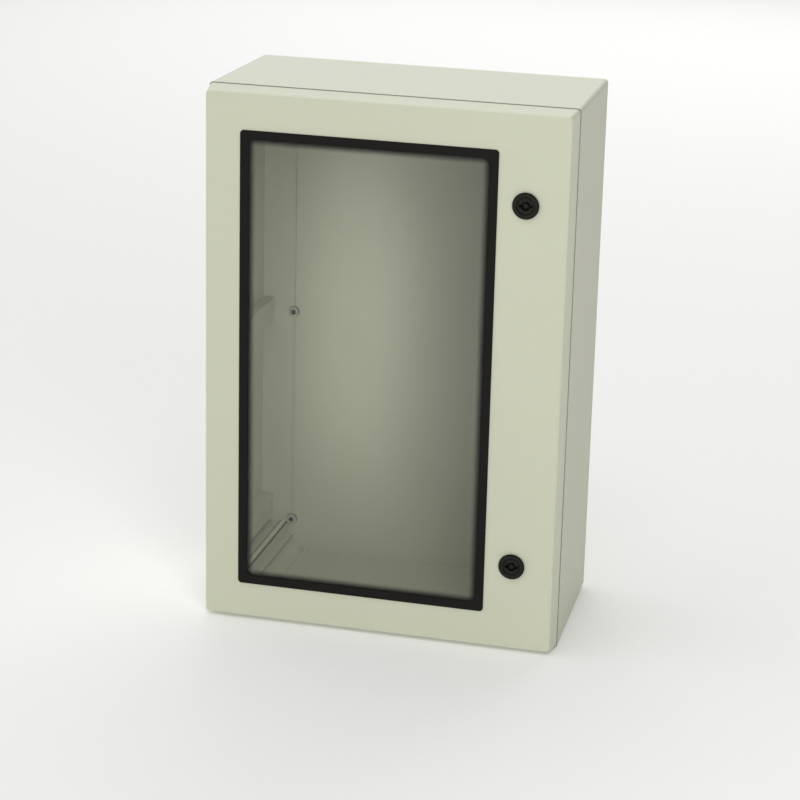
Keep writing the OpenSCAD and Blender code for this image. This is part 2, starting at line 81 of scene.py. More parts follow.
class Slot(Enum):
    """The record's material slots of new pieces, passed along but not used by the script."""

    RUBBER = "rubber"
    FOAM = "foam"
    LOCK = "lock"
    STEEL = "steel"


class Wiring:
    """Adds nodes to a node tree and joins their sockets."""

    def __init__(self, tree: bpy.types.NodeTree) -> None:
        """Keep the tree that the nodes go into."""
        self.tree = tree

    def feed(self, socket: Socket, value: Value) -> None:
        """Join an output socket to an input, or set the input's own value.

        Args:
            socket: the input.
            value: an output socket or a plain value.
        """
        if isinstance(value, Socket):
            self.tree.links.new(value, socket)
        else:
            socket.default_value = value

    def fill(self, node: bpy.types.Node, inputs: dict[str, Value]) -> None:
        """Feed a node's inputs by name."""
        for name, value in inputs.items():
            self.feed(node.inputs[name], value)

    def add(self, kind: str, settings: dict[str, object] | None = None, **inputs: Value) -> bpy.types.Node:
        """Add one node.

        Args:
            kind: Blender's name of the node type.
            settings: properties of the node itself.
            **inputs: values or sockets for its inputs, with spaces written as underscores.

        Returns:
            The new node.
        """
        node = self.tree.nodes.new(kind)
        for name, value in (settings or {}).items():
            setattr(node, name, value)
        self.fill(node, {name.replace("_", " "): value for name, value in inputs.items()})
        return node

    def group(self, tree: bpy.types.NodeTree, values: dict[str, float]) -> bpy.types.Node:
        """Place a node group with its own values.

        Args:
            tree: the group.
            values: values of its inputs, by name.

        Returns:
            The group's node.
        """
        node = self.add("ShaderNodeGroup", {"node_tree": tree})
        self.fill(node, values)
        return node

    def math(self, operation: str, first: Number, second: Number = 0.0) -> Socket:
        """Add a Math node.

        Args:
            operation: Blender's name of the operation.
            first: first number or socket.
            second: second number or socket.

        Returns:
            The result.
        """
        node = self.add("ShaderNodeMath", {"operation": operation})
        self.feed(node.inputs[0], first)
        self.feed(node.inputs[1], second)
        return node.outputs[0]

    def blend(self, factor: Number, first: Paint, second: Paint) -> Socket:
        """Mix two colours.

        Args:
            factor: share of the second colour, a number or a socket.
            first: plain colour or socket.
            second: plain colour or socket.

        Returns:
            The mixed colour.
        """
        ends = [end if isinstance(end, Socket) else (*end, 1.0) for end in (first, second)]
        node = self.add("ShaderNodeMix", {"data_type": "RGBA"}, Factor=factor, A=ends[0], B=ends[1])
        return node.outputs["Result"]

    def spread(self, value: Number, low: float, high: float) -> Socket:
        """Carry a value from the range 0 to 1 to another range."""
        return self.add("ShaderNodeMapRange", Value=value, To_Min=low, To_Max=high).outputs["Result"]

    def place(self) -> list[Socket]:
        """Add the place on the object, as its three coordinates."""
        place = self.add("ShaderNodeTexCoord").outputs["Object"]
        return list(self.add("ShaderNodeSeparateXYZ", Vector=place).outputs)

    def away(self, value: Number, middle: Number) -> Socket:
        """Add the distance of a value from a middle."""
        return self.math("ABSOLUTE", self.math("SUBTRACT", value, middle))

    def within(self, distance: Number, reach: Number) -> Socket:
        """Add a mask that is 1 where a distance is less than the reach and falls to 0 just beyond it.

        Args:
            distance: the distance, in metres.
            reach: the largest distance inside the mask.

        Returns:
            The mask.
        """
        beyond = self.math("SUBTRACT", distance, reach)
        ramp = self.add("ShaderNodeMapRange", Value=beyond, From_Max=MASK_EDGE, To_Min=1.0, To_Max=0.0)
        return ramp.outputs["Result"]


def new_group(
    name: str, inputs: list[str], outputs: list[str]
) -> tuple[Wiring, dict[str, Socket], dict[str, Socket]]:
    """Start a shader node group with plain number sockets.

    Args:
        name: the group's name.
        inputs: input names, whose values are set wherever the group is placed.
        outputs: output names.

    Returns:
        The group's wiring, its input sockets and its output sockets, by name.
    """
    tree = bpy.data.node_groups.new(name, "ShaderNodeTree")
    for side, labels in (("INPUT", inputs), ("OUTPUT", outputs)):
        for label in labels:
            tree.interface.new_socket(label, in_out=side, socket_type="NodeSocketFloat")
    wiring = Wiring(tree)
    entry = wiring.add("NodeGroupInput")
    leaving = wiring.add("NodeGroupOutput")
    given = {socket.name: socket for socket in entry.outputs}
    taken = {socket.name: socket for socket in leaving.inputs}
    return wiring, given, taken


@cache
def grain_group() -> bpy.types.NodeTree:
    """Moulded grain: a fine noise for the skin and a slow one for clouds of tone, both in real sizes.

    The height is the fine noise plus a share of a coarser one.

    Returns:
        The group, with the outputs Fine and Cloud, between 0 and 1, and Height.
    """
    coarse_step, coarse_share = 4.0, 0.4
    sizes = ["Grain Size", "Cloud Size"]
    wiring, entry, leaving = new_group("moulded_grain", sizes, ["Fine", "Cloud", "Height"])
    place = wiring.add("ShaderNodeTexCoord").outputs["Object"]
    coarse_size = wiring.math("MULTIPLY", entry["Grain Size"], coarse_step)
    noises = []
    for size, detail in ((entry["Grain Size"], 3.0), (entry["Cloud Size"], 4.0), (coarse_size, 2.0)):
        scale = wiring.math("DIVIDE", 1.0, size)
        noise = wiring.add("ShaderNodeTexNoise", Vector=place, Scale=scale, Detail=detail)
        noises.append(noise.outputs["Fac"])
    fine, cloud, coarse = noises
    heavy = wiring.math("MULTIPLY", coarse, coarse_share)
    wiring.feed(leaving["Fine"], fine)
    wiring.feed(leaving["Cloud"], cloud)
    wiring.feed(leaving["Height"], wiring.math("ADD", fine, heavy))
    return wiring.tree


@cache
def sight_group() -> bpy.types.NodeTree:
    """Clear part of a pane, beyond its painted edge shade: 0 at its sight edge, rising to 1 over a set
    distance, and 1 inside.

    The mask is the product of two smooth ramps, one across the width and one across the height.

    Returns:
        The group, with the output Clear.
    """
    sizes = ["Middle X", "Middle Z", "Half Width", "Half Height", "Fade"]
    wiring, entry, leaving = new_group("pane_sight", sizes, ["Clear"])
    x, _, z = wiring.place()
    smooth = {"interpolation_type": "SMOOTHSTEP"}
    ramps = []
    for value, middle, half in ((x, "Middle X", "Half Width"), (z, "Middle Z", "Half Height")):
        margin = wiring.math("SUBTRACT", entry[half], wiring.away(value, entry[middle]))
        ramp = wiring.add("ShaderNodeMapRange", smooth, Value=margin, From_Max=entry["Fade"])
        ramps.append(ramp.outputs["Result"])
    wiring.feed(leaving["Clear"], wiring.math("MULTIPLY", *ramps))
    return wiring.tree


@cache
def band_group() -> bpy.types.NodeTree:
    """Band round the cabinet: close to its outline and within a range of depths.

    Returns:
        The group, with the output Mask.
    """
    sizes = ["Half Width", "Half Height", "Middle Y", "Half Depth", "Reach"]
    wiring, entry, leaving = new_group("outline_band", sizes, ["Mask"])
    x, y, z = wiring.place()
    from_side = wiring.math("SUBTRACT", entry["Half Width"], wiring.away(x, 0.0))
    from_end = wiring.math("SUBTRACT", entry["Half Height"], wiring.away(z, entry["Half Height"]))
    outer = wiring.within(wiring.math("MINIMUM", from_side, from_end), entry["Reach"])
    depth = wiring.within(wiring.away(y, entry["Middle Y"]), entry["Half Depth"])
    wiring.feed(leaving["Mask"], wiring.math("MULTIPLY", outer, depth))
    return wiring.tree


@cache
def ring_group() -> bpy.types.NodeTree:
    """Rings round the axes of two mirrored, evenly spaced columns: between two radii, down to a depth.

    Returns:
        The group, with the output Mask.
    """
    sizes = ["Column X", "Middle Z", "Pitch Z", "Inner", "Outer", "End Y"]
    wiring, entry, leaving = new_group("ring_mask", sizes, ["Mask"])
    x, y, z = wiring.place()
    sideways = wiring.math("SUBTRACT", wiring.away(x, 0.0), entry["Column X"])
    half_pitch = wiring.math("MULTIPLY", entry["Pitch Z"], 0.5)
    upwards = wiring.math("PINGPONG", wiring.math("SUBTRACT", z, entry["Middle Z"]), half_pitch)
    offset = wiring.add("ShaderNodeCombineXYZ", X=sideways, Y=upwards)
    length = wiring.add("ShaderNodeVectorMath", {"operation": "LENGTH"})
    wiring.feed(length.inputs[0], offset.outputs["Vector"])
    ring_middle = wiring.math("MULTIPLY", wiring.math("ADD", entry["Inner"], entry["Outer"]), 0.5)
    ring_half = wiring.math("SUBTRACT", entry["Outer"], ring_middle)
    inside = wiring.within(wiring.away(length.outputs["Value"], ring_middle), ring_half)
    before = wiring.within(y, entry["End Y"])
    wiring.feed(leaving["Mask"], wiring.math("MULTIPLY", inside, before))
    return wiring.tree


@cache
def line_group() -> bpy.types.NodeTree:
    """Lines on both sides of a strip that is mirrored left and right and up and down.

    A line lies at an offset from the strip's middle, inside a band of heights and a band of depths.

    Returns:
        The group, with the output Mask.
    """
    sizes = [
        "Strip X", "Offset", "Half Width", "Middle Z", "Level", "Half Level", "Middle Y", "Half Depth",
    ]
    wiring, entry, leaving = new_group("line_mask", sizes, ["Mask"])
    x, y, z = wiring.place()
    from_strip = wiring.away(wiring.away(x, 0.0), entry["Strip X"])
    across = wiring.within(wiring.away(from_strip, entry["Offset"]), entry["Half Width"])
    height = wiring.away(z, entry["Middle Z"])
    level = wiring.within(wiring.away(height, entry["Level"]), entry["Half Level"])
    depth = wiring.within(wiring.away(y, entry["Middle Y"]), entry["Half Depth"])
    wiring.feed(leaving["Mask"], wiring.math("MULTIPLY", wiring.math("MULTIPLY", across, level), depth))
    return wiring.tree


@dataclass(frozen=True)
class Tone:
    """Places of a piece with painted shade or highlight: a colour, a node group and the sizes that it takes.
    """

    colour: Colour
    group: Callable[[], bpy.types.NodeTree]
    sizes: dict[str, float]

    def mask(self, wiring: Wiring) -> Socket:
        """Add the mask of these places to a material."""
        return wiring.group(self.group(), self.sizes).outputs["Mask"]


def new_material(name: str) -> tuple[Wiring, bpy.types.Node, bpy.types.Node]:
    """Start a material.

    Args:
        name: the finish's name.

    Returns:
        The material's wiring, its Principled node and its output node.
    """
    material = bpy.data.materials.new(name)
    material.use_nodes = True
    nodes = material.node_tree.nodes
    return Wiring(material.node_tree), nodes["Principled BSDF"], nodes["Material Output"]


@dataclass(frozen=True)
class GrainedFinish:
    """A finish whose tone, gloss and skin follow the moulded grain."""

    name: str
    dark: Colour
    light: Colour
    gloss: tuple[float, float]
    grain_size: float
    cloud_size: float
    bump_depth: float
    bump_strength: float = 0.3
    metallic: float = 0.0
    specular: float = 0.5
    # Places with painted shade or highlight, blended over the grain's colour
    tones: tuple[Tone, ...] = ()

    def make(self) -> bpy.types.Material:
        """Build the material: clouds of tone in the colour, fine grain in the roughness and the normal.

        Returns:
            The material.
        """
        wiring, shader, _ = new_material(self.name)
        grain = wiring.group(grain_group(), {"Grain Size": self.grain_size, "Cloud Size": self.cloud_size})
        colour = wiring.blend(grain.outputs["Cloud"], self.dark, self.light)
        # Blend each painted shade or highlight over the colour
        for tone in self.tones:
            colour = wiring.blend(tone.mask(wiring), colour, tone.colour)
        bump = wiring.add("ShaderNodeBump", Height=grain.outputs["Height"])
        wiring.fill(bump, {"Distance": self.bump_depth, "Strength": self.bump_strength})
        wiring.fill(shader, {
            "Base Color": colour, "Roughness": wiring.spread(grain.outputs["Fine"], *self.gloss),
            "Normal": bump.outputs["Normal"], "Metallic": self.metallic, "Specular IOR Level": self.specular,
        })
        return bpy.data.materials[self.name]


@dataclass(frozen=True)
class PaneFinish:
    """Clear sheet with painted shade that darkens it towards the gasket, and lets lamplight through."""

    name: str = "clear_pane"
    tint: Colour = (0.806, 0.809, 0.800)
    # Colour of the painted shade at the pane's edge beside the gasket
    edge: Colour = (0.03, 0.03, 0.03)
    lamp_tint: Colour = (0.870, 0.874, 0.855)
    # Width over which the painted edge shade fades out
    fade: float = 8 * MM
    roughness: float = 0.02
    ior: float = 1.46
    specular: float = 0.25

    def make(self, low: Vector, high: Vector) -> bpy.types.Material:
        """Build the material for a pane whose sight opening is given.

        Args:
            low: lowest corner of the sight opening.
            high: highest corner of the sight opening.

        Returns:
            The material.
        """
        wiring, shader, output = new_material(self.name)
        middle, half = (low + high) / 2, (high - low) / 2
        sight = wiring.group(sight_group(), {
            "Middle X": middle.x, "Middle Z": middle.z, "Half Width": half.x, "Half Height": half.z,
            "Fade": self.fade,
        })
        # The pane's colour turns to painted shade towards the gasket
        wiring.fill(shader, {
            "Base Color": wiring.blend(sight.outputs["Clear"], self.edge, self.tint),
            "Roughness": self.roughness, "IOR": self.ior, "Specular IOR Level": self.specular,
            "Transmission Weight": 1.0,
        })
        lamp_light = wiring.add("ShaderNodeBsdfTransparent", Color=(*self.lamp_tint, 1.0))
        path = wiring.add("ShaderNodeLightPath")
        both = wiring.add("ShaderNodeMixShader")
        parts = (path.outputs["Is Shadow Ray"], shader.outputs["BSDF"], lamp_light.outputs["BSDF"])
        for socket, part in zip(both.inputs, parts):
            wiring.feed(socket, part)
        wiring.feed(output.inputs["Surface"], both.outputs["Shader"])
        return bpy.data.materials[self.name]


SHELL = GrainedFinish(
    name="moulded_shell", dark=(0.575, 0.590, 0.452), light=(0.610, 0.625, 0.482),
    gloss=(0.36, 0.48), grain_size=0.9 * MM, cloud_size=140 * MM, bump_depth=0.05 * MM,
)
RUBBER = GrainedFinish(
    name="black_rubber", dark=(0.007, 0.0065, 0.0055), light=(0.011, 0.010, 0.0085),
    gloss=(0.48, 0.66), grain_size=0.6 * MM, cloud_size=25 * MM, bump_depth=0.08 * MM, specular=0.12,
)
FOAM = GrainedFinish(
    name="foamed_seal", dark=(0.055, 0.055, 0.052), light=(0.085, 0.085, 0.08),
    gloss=(0.80, 0.95), grain_size=1.1 * MM, cloud_size=12 * MM, bump_depth=0.4 * MM, bump_strength=0.7,
)
LOCK_BLACK = GrainedFinish(
    name="lock_black", dark=(0.0125, 0.0132, 0.0098), light=(0.0165, 0.0172, 0.0132),
    gloss=(0.24, 0.34), grain_size=0.5 * MM, cloud_size=9 * MM, bump_depth=0.05 * MM, specular=0.12,
)
PLATED = GrainedFinish(
    name="zinc_plate", dark=(0.52, 0.53, 0.53), light=(0.66, 0.66, 0.64),
    gloss=(0.26, 0.40), grain_size=0.7 * MM, cloud_size=10 * MM, bump_depth=0.03 * MM, metallic=1.0,
)


def grid_object(name: str, points: np.ndarray, sharp_deg: float = SMOOTH_DEG) -> bpy.types.Object:
    """Make a closed surface of a grid whose rows and columns both run round.

    Args:
        name: the piece's name.
        points: grid of points in metres, of shape (rows, columns, 3).
        sharp_deg: edges that turn by more than this stay sharp.

    Returns:
        The object, at the origin, with its faces pointing out.
    """
    rows, columns = points.shape[:2]
    i, j = np.meshgrid(np.arange(rows), np.arange(columns), indexing="ij")
    below, beside = (i + 1) % rows, (j + 1) % columns
    corners = (i * columns + j, below * columns + j, below * columns + beside, i * columns + beside)
    faces = np.stack(corners, axis=-1).reshape(-1, 4)
    mesh = bpy.data.meshes.new(name)
    mesh.from_pydata(points.reshape(-1, 3).tolist(), [], faces.tolist())
    shape = bmesh.new()
    shape.from_mesh(mesh)
    bmesh.ops.remove_doubles(shape, verts=shape.verts, dist=MERGE_DISTANCE)
    bmesh.ops.recalc_face_normals(shape, faces=shape.faces)
    shape.to_mesh(mesh)
    shape.free()
    mesh.polygons.foreach_set("use_smooth", np.ones(len(mesh.polygons), bool))
    mesh.set_sharp_from_angle(angle=math.radians(sharp_deg))
    piece = bpy.data.objects.new(name, mesh)
    bpy.context.scene.collection.objects.link(piece)
    return piece


def finish_piece(
    piece: bpy.types.Object, material: bpy.types.Material, body: Body, slot: Slot, *nodes: str
) -> None:
    """Give a new piece its finish, its body and the nodes that it stands for.

    Args:
        piece: the new piece.
        material: its finish.
        body: the body that it rides on.
        slot: the record's material slot, not used.
        *nodes: the nodes that it stands for.
    """
    piece.data.materials.append(material)
    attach(piece, body.value)
    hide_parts(*nodes)
    log.info("%s rides on %s and stands for %s", piece.name, body.value, ", ".join(nodes))


def dress_node(node: str, material: bpy.types.Material) -> None:
    """Give a carried-over node its finish.

    Args:
        node: the node's name.
        material: its finish.
    """
    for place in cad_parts[node].material_slots:
        place.material = material
    log.info("%s is finished in %s", node, material.name)


def crown(count: int, power: float) -> tuple[np.ndarray, np.ndarray]:
    """Half a rounded box outline: a superellipse from one foot over the top to the other.

    Args:
        count: number of points.
        power: 2 gives a half circle, more gives a flatter top with tighter shoulders.

    Returns:
        Distance across, from 0 to 1, and height, from 0 to 1.
    """
    turn = np.linspace(0.0, math.pi, count)
    cosine, sine = np.cos(turn), np.sin(turn)
    across = (1.0 - np.sign(cosine) * np.abs(cosine) ** (2 / power)) / 2
    return across, np.abs(sine) ** (2 / power)


@dataclass
class WindowGasket:
    """Glazing profile round the pane: a crowned face, a lip behind, and a slot each for door and pane."""

    face: float = 10 * MM
    lap: float = 4 * MM
    web: float = 2.5 * MM
    front_height: float = 1.6 * MM
    rear_height: float = 2 * MM
    rear_inset: float = 0.9 * MM
    skin: float = 3.5 * MM
    pane: float = 3 * MM
    outer_radius: float = 4 * MM
    sight_radius: float = 8 * MM
    corner_points: int = 14
    crown_points: int = 17
    crown_power: float = 5.0
    name: str = "glazing_gasket"

    def profile(self, front_y: float) -> tuple[np.ndarray, np.ndarray]:
        """Closed section of the gasket: front crown, pane slot, rear crown, door slot.

        Args:
            front_y: place of the door's front face.

        Returns:
            Inset from the outer edge and place along the depth, point by point.
        """
        across, height = crown(self.crown_points, self.crown_power)
        pane_front = front_y + (self.skin - self.pane) / 2
        pane_back = pane_front + self.pane
        back = front_y + self.skin
        slot_end = self.lap + self.web
        rear = self.face - across * (self.face - self.rear_inset)
        inset = np.concatenate([
            across * self.face, [self.face, slot_end, slot_end, self.face], rear, [self.lap, self.lap],
        ])
        depth = np.concatenate([
            front_y - height * self.front_height, [pane_front, pane_front, pane_back, pane_back],
            back + height * self.rear_height, [back, front_y],
        ])
        return inset, depth

    def build(self) -> bpy.types.Object:
        """Carry the section round a rectangle whose corner radius grows from the outer to the sight edge.

        A point's place is the corner's centre plus its radius times the corner's direction, so each inset has
        its own rounded rectangle.

        Returns:
            The gasket.
        """
        low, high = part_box("window_gasket")
        inset, depth = self.profile(low.y + self.front_height)
        share = np.clip(inset / self.face, 0, 1)
        radius = self.outer_radius + (self.sight_radius - self.outer_radius) * share
        starts = np.radians(QUARTERS_DEG)
        turn = np.radians(np.linspace(0, 90, self.corner_points))
        angle = (starts[:, None] + turn[None, :]).reshape(-1, 1)
        corner = np.repeat(starts + math.pi / 4, self.corner_points)[:, None]
        reach_x = np.sign(np.cos(corner)) * ((high.x - low.x) / 2 - inset - radius)[None, :]
        reach_z = np.sign(np.sin(corner)) * ((high.z - low.z) / 2 - inset - radius)[None, :]
        x = (low.x + high.x) / 2 + reach_x + radius[None, :] * np.cos(angle)
        z = (low.z + high.z) / 2 + reach_z + radius[None, :] * np.sin(angle)
        y = np.broadcast_to(depth[None, :], x.shape)
        return grid_object(self.name, np.stack([x, y, z], axis=-1))


@dataclass
class DoorSeal:
    """Foam strip behind the door's skin, stepped in round the corners, with a crowned and pressed top."""

    outer_grow: float = 5.5 * MM
    inner_grow: float = -2.5 * MM
    line_radius: float = 6 * MM
    channel: float = 39 * MM
    rim: float = 20 * MM
    press: float = 0.8 * MM
    # Width of the pressed groove, as a share of the strip's width
    press_width: float = 0.18
    # Share of the height from which the section counts as its top
    top_from: float = 0.9
    corner_points: int = 8
    crown_points: int = 25
    crown_power: float = 6.0
    sharp_deg: float = 50.0
    name: str = "foam_seal"

    def path(self, half_w: float, half_h: float) -> tuple[np.ndarray, np.ndarray]:
        """Line that the strip follows: a cross-shaped outline with eight round corners and four square ones.

        Args:
            half_w: half the cabinet's width.
            half_h: half the cabinet's height.

        Returns:
            Points of the line and, for each, the direction in which the strip's width runs.
        """
        wide, tall = half_w - self.rim, half_h - self.rim
        step_x, step_z = half_w - self.channel, half_h - self.channel
        radius = self.line_radius
        turn = np.radians(np.linspace(0, 90, self.corner_points))
        arc = np.stack([np.cos(turn), np.sin(turn)], axis=-1)
        side = np.array([wide - radius, step_z - radius]) + radius * arc
        top = np.array([step_x - radius, tall - radius]) + radius * arc
        quarter = np.concatenate([side, [[step_x, step_z]], top])
        outward = np.concatenate([arc, [[1.0, 1.0]], arc])
        points, directions = [], []
        for flip in ((1, 1), (-1, 1), (-1, -1), (1, -1)):
            order = slice(None) if flip[0] == flip[1] else slice(None, None, -1)
            points.append((quarter * np.array(flip))[order])
            directions.append((outward * np.array(flip))[order])
        return np.concatenate(points), np.concatenate(directions)

    def build(self) -> bpy.types.Object:
        """Carry a crowned section round the sealing line.

        The section is a superellipse, less a bell curve across the middle of its top, where the lip presses.

        Returns:
            The seal.
        """
        low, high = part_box("door_seal")
        half_w = (high.x - low.x) / 2 - self.outer_grow + self.rim
        half_h = (high.z - low.z) / 2 - self.outer_grow + self.rim
        line, direction = self.path(half_w, half_h)
        across, height = crown(self.crown_points, self.crown_power)
        dent = self.press * np.exp(-(((across - 0.5) / self.press_width) ** 2)) * (height > self.top_from)
        grow = np.concatenate([self.inner_grow + across * (self.outer_grow - self.inner_grow), [0.0]])
        depth = np.concatenate([low.y + height * (high.y - low.y) - dent, [low.y]])
        x = (low.x + high.x) / 2 + line[:, None, 0] + direction[:, None, 0] * grow[None, :]
        z = (low.z + high.z) / 2 + line[:, None, 1] + direction[:, None, 1] * grow[None, :]
        y = np.broadcast_to(depth[None, :], x.shape)
        return grid_object(self.name, np.stack([x, y, z], axis=-1), self.sharp_deg)


@dataclass
class Lock:
    """One key lock: housing, flat seal, nut, turning core, clip, cam, washer and screw."""

    place: str
    body: Body
    neck_radius: float = 11 * MM
    neck_flat: float = 10 * MM
    neck_length: float = 19 * MM
    thread_pitch: float = 1.5 * MM
    thread_depth: float = 0.7 * MM
    thread_clearance: float = 0.06 * MM
    core_bore: float = 8.76 * MM
    core_depth: float = 8.06 * MM
    shaft_bore: float = 6.06 * MM
    seal_thickness: float = 0.8 * MM
    bezel_round: float = 1.3 * MM
    bezel_dish: float = 0.35 * MM
    chamfer: float = 0.7 * MM
    washer_bore: float = 3.06 * MM
    washer_power: float = 4.0
    shank: float = 3 * MM
    # Share of the flats' distance that is left at a hexagon's end faces, and the slope of its chamfer
    hexagon_end: float = 0.985
    hexagon_cone_deg: float = 60.0
    # Points round the axis, along one turn of thread, and along the sections of the pieces
    around: int = 96
    thread_points: int = 8
    bezel_points: int = 9
    nut_points: int = 13
    washer_points: int = 15
    head_points: int = 9
    thread_sharp_deg: float = 50.0
    hexagon_sharp_deg: float = 25.0
    # Share of the bezel's rounding that has a painted dark reflection
    shaded_edge_share: float = 0.8
    # Colour of the painted dark reflection on the bezel's edge and the painted shade round the core
    ring_shade_colour: Colour = (0.0015, 0.0015, 0.001)
    axis_x: float = field(init=False)
    axis_z: float = field(init=False)
    front_y: float = field(init=False)
    bezel_radius: float = field(init=False)
    bezel_top: float = field(init=False)

    def __post_init__(self) -> None:
        """Take the axis, the bezel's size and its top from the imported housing."""
        low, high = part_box(f"{self.place}_lock_housing")
        self.axis_x = (low.x + high.x) / 2
        self.axis_z = (low.z + high.z) / 2
        self.front_y = high.y - self.neck_length
        self.bezel_radius = (high.x - low.x) / 2
        self.bezel_top = self.front_y - low.y

    def angles(self) -> np.ndarray:
        """Angles round the axis, as a column."""
        return np.linspace(0, 2 * math.pi, self.around, endpoint=False)[:, None]

    def all_round(self, section: np.ndarray | list[float]) -> np.ndarray:
        """Repeat a section at every angle."""
        return np.tile(section, (self.around, 1))

    def seat(self, node: str) -> tuple[float, float, float, float]:
        """Take a piece's place on the lock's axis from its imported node.

        Args:
            node: the node's name without the lock's place.

        Returns:
            Its back and front end, measured forwards from the door's face, and its width and height.
        """
        low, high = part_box(f"{self.place}_{node}")
        return self.front_y - high.y, self.front_y - low.y, high.x - low.x, high.z - low.z

    def revolve(
        self, name: str, radius: np.ndarray, along: np.ndarray, sharp_deg: float = SMOOTH_DEG
    ) -> bpy.types.Object:
        """Turn a closed section round the lock's axis.

        Args:
            name: the piece's name without the lock's place.
            radius: radius for each angle and section point.
            along: place of each section point in front of the door's face.
            sharp_deg: edges that turn by more than this stay sharp.

        Returns:
            The turned piece.
        """
        x = self.axis_x + radius * np.cos(self.angles())
        z = self.axis_z + radius * np.sin(self.angles())
        y = np.broadcast_to(self.front_y - along, x.shape)
        return grid_object(f"{self.place}_{name}", np.stack([x, y, z], axis=-1), sharp_deg)

    def bezel_section(self) -> tuple[np.ndarray, np.ndarray]:
        """Section of the bezel from the core's bore out over its dished face and round its edge.

        The dish is half a sine wave across the face, and the edge is a quarter circle.

        Returns:
            Radius and place along the axis, point by point.
        """
        turn = np.radians(np.linspace(90, 0, self.bezel_points))
        top, edge = self.bezel_top, self.bezel_radius - self.bezel_round
        face = np.linspace(self.core_bore + self.chamfer, edge, self.bezel_points)[:-1]
        share = (face - face[0]) / (edge - face[0])
        dish = self.bezel_dish * np.sin(math.pi * share)
        radius = np.concatenate([[self.core_bore], face, edge + self.bezel_round * np.cos(turn)])
        along = np.concatenate([
            [top - self.chamfer], top - dish, top - self.bezel_round + self.bezel_round * np.sin(turn),
        ])
        return radius, np.maximum(along, self.seal_thickness)

    def build_housing(self, finish: bpy.types.Material) -> None:
        """Make the housing: a dished bezel, a neck with two flats and a helical thread, and a stepped bore.

        The neck's radius is the thread's crest less a triangle wave of its place along the axis and its
        angle, held inside the two flats.

        Args:
            finish: the housing's material.
        """
        bezel_radius, bezel_along = self.bezel_section()
        turns = (self.neck_length + self.seal_thickness) / self.thread_pitch
        neck_along = np.linspace(self.seal_thickness, -self.neck_length, int(turns * self.thread_points))
        bore_radius = [self.shaft_bore, self.shaft_bore, self.core_bore]
        bore_along = [-self.neck_length, -self.core_depth, -self.core_depth]
        phase = neck_along[None, :] / self.thread_pitch + self.angles() / (2 * math.pi)
        wave = np.abs(2 * (phase - np.floor(phase)) - 1)
        root = self.all_round([self.neck_radius - self.thread_depth])
        thread = np.concatenate([self.neck_radius - self.thread_depth * wave, root], axis=1)
        flats = self.neck_flat / np.maximum(np.abs(np.sin(self.angles())), SMALLEST_SINE)
        neck = np.minimum(thread, flats)
        radius = np.concatenate([self.all_round(bezel_radius), neck, self.all_round(bore_radius)], axis=1)
        along = np.concatenate([bezel_along, neck_along, [-self.neck_length], bore_along])
        piece = self.revolve("key_housing", radius, along, self.thread_sharp_deg)
        finish_piece(piece, finish, Body.DOOR, Slot.LOCK, f"{self.place}_lock_housing")

    def hexagon(self, across_flats: float, along: np.ndarray) -> np.ndarray:
        """Radius of a chamfered hexagon: the smaller of its flat sides and of a cone at each end.

        Args:
            across_flats: distance across the flats.
            along: place of each section point along the axis, from one end to the other.

        Returns:
            Radius for each angle and section point.
        """
        sector = math.pi / 3
        offset = (self.angles() + sector / 2) % sector - sector / 2
        flat = across_flats / 2 / np.cos(offset - np.sign(offset) * sector / 2)
        from_end = np.minimum(along - along[0], along[-1] - along)[None, :]
        slope = math.tan(math.radians(self.hexagon_cone_deg))
        return np.minimum(flat, across_flats / 2 * self.hexagon_end + from_end * slope)

    def build_nut(self, finish: bpy.types.Material) -> None:
        """Make the chamfered hexagon nut behind the door's skin, with its bore bevelled at both ends.

        Args:
            finish: the nut's material.
        """
        back, front, _, across_flats = self.seat("lock_nut")
        sides = np.linspace(back, front, self.nut_points)
        bore = self.neck_radius + self.thread_clearance
        inside = [bore + self.chamfer, bore, bore, bore + self.chamfer]
        along = np.concatenate([sides, [front, front - self.chamfer, back + self.chamfer, back]])
        radius = np.concatenate([self.hexagon(across_flats, sides), self.all_round(inside)], axis=1)
        piece = self.revolve("hexagon_nut", radius, along, self.hexagon_sharp_deg)
        finish_piece(piece, finish, Body.DOOR, Slot.STEEL, f"{self.place}_lock_nut")

    def build_washer(self, finish: bpy.types.Material) -> None:
        """Make the washer under the screw, with its outer edges rounded by a superellipse.

        Args:
            finish: the washer's material.
        """
        back, front, width, _ = self.seat("cam_washer")
        thickness = front - back
        across, height = crown(self.washer_points, self.washer_power)
        rim = width / 2 - thickness / 2 * (1 - height)
        along = np.concatenate([back + across * thickness, [front, back]])
        radius = np.concatenate([rim, [self.washer_bore, self.washer_bore]])
        piece = self.revolve("flat_washer", self.all_round(radius), along)
        finish_piece(piece, finish, self.body, Slot.STEEL, f"{self.place}_cam_washer")

    def build_screw(self, finish: bpy.types.Material) -> None:
        """Make the screw that holds the cam: a chamfered hexagon head on a plain shank, closed at both ends.

        Args:
            finish: the screw's material.
        """
        head_end, tip, _, across_flats = self.seat("cam_screw")
        washer_back = self.seat("cam_washer")[0]
        head = np.linspace(head_end, washer_back, self.head_points)
        shank = [self.shank, self.shank, self.shank - self.chamfer, 0.0]
        along = np.concatenate([[head_end], head, [washer_back, tip - self.chamfer, tip, tip]])
        sides = [self.all_round([0.0]), self.hexagon(across_flats, head), self.all_round(shank)]
        piece = self.revolve("hexagon_screw", np.concatenate(sides, axis=1), along, self.hexagon_sharp_deg)
        finish_piece(piece, finish, self.body, Slot.STEEL, f"{self.place}_cam_screw")

